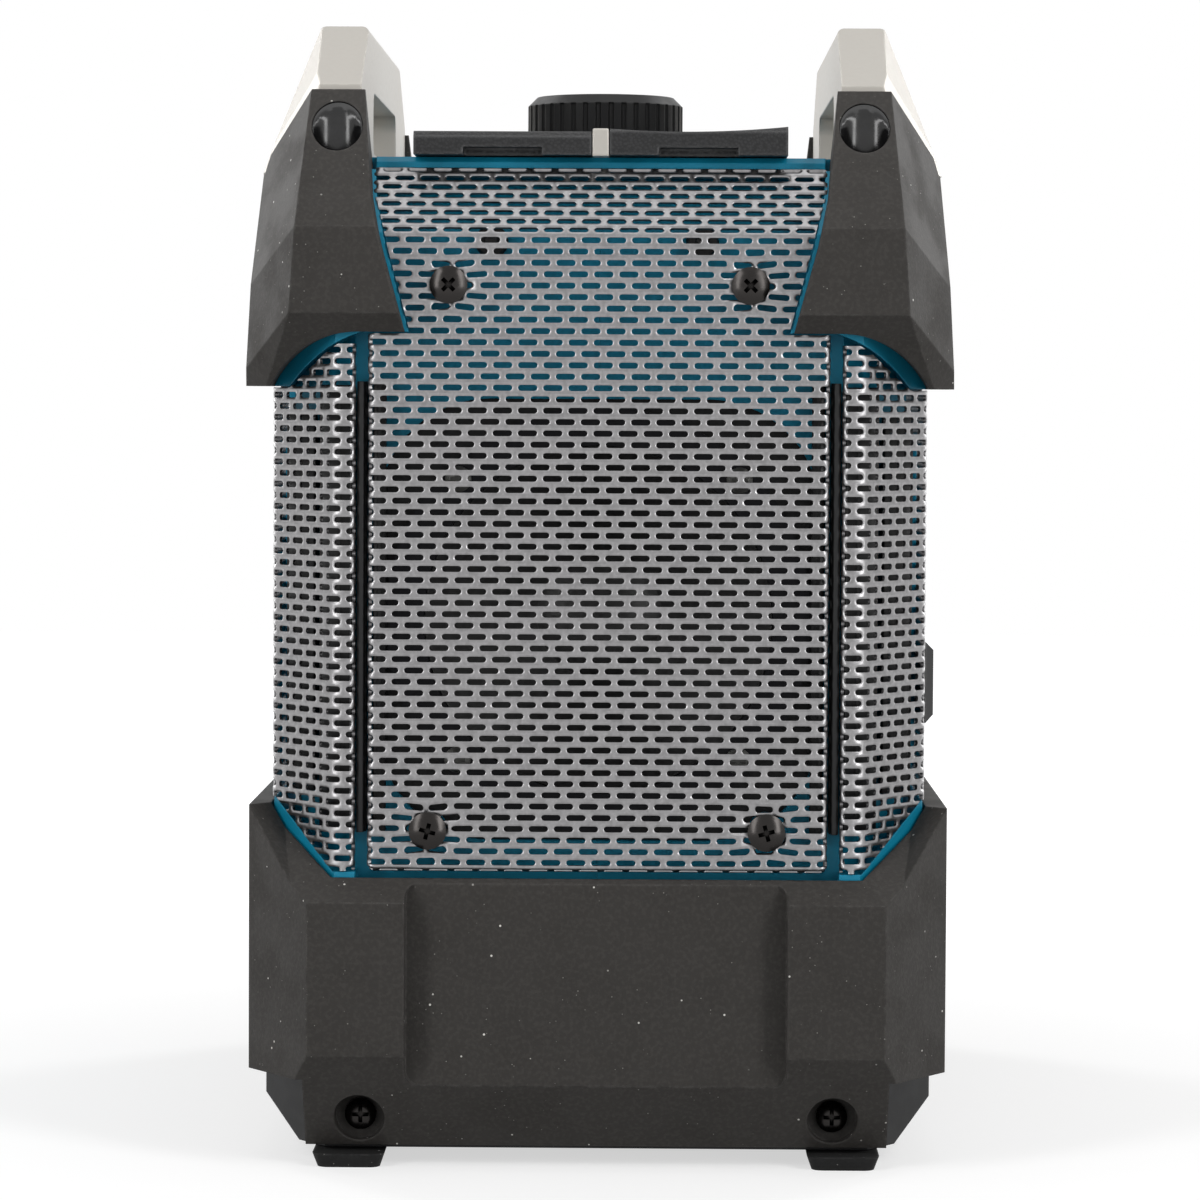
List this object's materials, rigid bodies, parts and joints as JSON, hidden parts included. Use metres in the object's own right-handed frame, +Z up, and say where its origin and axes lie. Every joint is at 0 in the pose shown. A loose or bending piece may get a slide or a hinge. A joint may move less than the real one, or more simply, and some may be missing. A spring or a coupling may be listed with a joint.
{
  "type": "jobsite radio",
  "caption": "Portable jobsite radio with end-firing loudspeakers, perforated steel grilles, rubber corner bumpers, carrying handles, hinged deck covers, keypad and a rear battery bay.",
  "frame": {"origin": "under the middle of the radio, on the plane its feet stand on", "axes": "+X to the front, -X to the rear with the battery door, -Y to the left loudspeaker end, +Y to the right end, +Z up"},
  "size_m": [0.19, 0.262, 0.308],
  "materials": {
    "teal_plastic": "moulded teal, fine grain",
    "dark_rubber": "moulded dark grey, fine grain",
    "foot_rubber": "smooth black",
    "silver_paint": "satin silver paint",
    "grille_steel": "grey lacquered perforated steel",
    "black_screw": "black, glossy",
    "zinc_screw": "zinc plated",
    "steel": "bright",
    "aluminium": "satin",
    "black_plastic": "moulded black",
    "deck_black": "black, coarse spark texture",
    "black_gloss": "black, glossy",
    "knob_black": "black, ribbed",
    "key_plastic": "moulded dark grey",
    "clear_window": "clear, glossy",
    "display_panel": "dark liquid crystal panel",
    "circuit_board": "green solder resist",
    "ferrite": "dark, matt",
    "magnet": "dark, ground",
    "cone_black": "coated, satin",
    "black_metal": "black lacquer",
    "pack_plastic": "moulded black"
  },
  "bodies": {
    "radio": {"accessory_tray": "black_plastic", "amplifier_board": "circuit_board", "audio_jack": "black_gloss", "badge_plate": "black_gloss", "baffles": "black_plastic", "base_boot": "dark_rubber", "base_tray": "black_plastic", "battery_bay": "black_plastic", "board_screws": "zinc_screw", "bumper_screws": "black_screw", "control_board": "circuit_board", "corner_bumper_front_left": "dark_rubber", "corner_bumper_front_right": "dark_rubber", "corner_bumper_rear_left": "dark_rubber", "corner_bumper_rear_right": "dark_rubber", "deck_trim": "silver_paint", "display_housing": "deck_black", "display_module": "display_panel", "display_window": "clear_window", "encoder_body": "steel", "feet": "foot_rubber", "ferrite_aerial": "ferrite", "front_grille": "grille_steel", "front_shell": "teal_plastic", "grille_screws": "black_screw", "handle_front": "silver_paint", "handle_rear": "silver_paint", "heat_sink": "aluminium", "hinge_pins": "steel", "input_well": "black_plastic", "key_switches": "black_plastic", "keypad_bezel": "deck_black", "power_inlet": "black_gloss", "rear_grille_left": "grille_steel", "rear_grille_right": "grille_steel", "rear_shell": "teal_plastic", "reflex_port": "black_plastic", "shell_screws": "black_screw", "side_grille_left": "grille_steel", "side_grille_right": "grille_steel", "speaker_cones": "cone_black", "speaker_frames": "black_metal", "speaker_magnets": "magnet", "terminal_block": "black_plastic", "top_deck": "teal_plastic", "usb_socket": "steel"},
    "plunger": {"encoder_plunger": "steel"},
    "knob": {"encoder_shaft": "aluminium", "volume_knob": "knob_black"},
    "input_lid": {"input_cover": "deck_black"},
    "accessory_lid": {"accessory_cover": "deck_black"},
    "door": {"battery_door": "teal_plastic"},
    "latch": {"battery_latch": "black_plastic"},
    "pack": {"battery_pack": "pack_plastic"},
    "band_button_cap": {"band_button": "key_plastic"},
    "power_button_cap": {"power_button": "key_plastic"},
    "preset_button_1_cap": {"preset_button_1": "key_plastic"},
    "preset_button_2_cap": {"preset_button_2": "key_plastic"},
    "tune_down_button_cap": {"tune_down_button": "key_plastic"},
    "tune_up_button_cap": {"tune_up_button": "key_plastic"}
  },
  "joints": [
    {"name": "knob_press", "type": "slide", "parent": "radio", "child": "plunger", "axis": [0, 0, -1], "range_m": [0, 0.0008], "stiffness_N_per_m": 1500, "springref_m": -0.002},
    {"name": "knob_turn", "type": "hinge", "parent": "plunger", "child": "knob", "pos_m": [0, 0, 0.28], "axis": [0, 0, 1], "continuous": true},
    {"name": "input_cover_hinge", "type": "hinge", "parent": "radio", "child": "input_lid", "pos_m": [-0.0261, -0.0331, 0.2739], "axis": [-1, 0, 0], "range_deg": [0, 105]},
    {"name": "accessory_cover_hinge", "type": "hinge", "parent": "radio", "child": "accessory_lid", "pos_m": [0.0261, -0.0331, 0.2739], "axis": [-1, 0, 0], "range_deg": [0, 105]},
    {"name": "battery_door_hinge", "type": "hinge", "parent": "radio", "child": "door", "pos_m": [-0.0858, 0, 0.1002], "axis": [0, -1, 0], "range_deg": [0, 90]},
    {"name": "latch_slide", "type": "slide", "parent": "door", "child": "latch", "axis": [0, 0, -1], "range_m": [0, 0.003], "stiffness_N_per_m": 400, "springref_m": -0.002},
    {"name": "battery_slide", "type": "slide", "parent": "radio", "child": "pack", "axis": [0, 0, 1], "range_m": [0, 0.015]},
    {"name": "band_button_press", "type": "slide", "parent": "radio", "child": "band_button_cap", "axis": [0, 0, -1], "range_m": [0, 0.001], "stiffness_N_per_m": 800, "springref_m": -0.001},
    {"name": "power_button_press", "type": "slide", "parent": "radio", "child": "power_button_cap", "axis": [0, 0, -1], "range_m": [0, 0.001], "stiffness_N_per_m": 800, "springref_m": -0.001},
    {"name": "preset_button_1_press", "type": "slide", "parent": "radio", "child": "preset_button_1_cap", "axis": [0, 0, -1], "range_m": [0, 0.001], "stiffness_N_per_m": 800, "springref_m": -0.001},
    {"name": "preset_button_2_press", "type": "slide", "parent": "radio", "child": "preset_button_2_cap", "axis": [0, 0, -1], "range_m": [0, 0.001], "stiffness_N_per_m": 800, "springref_m": -0.001},
    {"name": "tune_down_button_press", "type": "slide", "parent": "radio", "child": "tune_down_button_cap", "axis": [0, 0, -1], "range_m": [0, 0.001], "stiffness_N_per_m": 800, "springref_m": -0.001},
    {"name": "tune_up_button_press", "type": "slide", "parent": "radio", "child": "tune_up_button_cap", "axis": [0, 0, -1], "range_m": [0, 0.001], "stiffness_N_per_m": 800, "springref_m": -0.001}
  ]
}
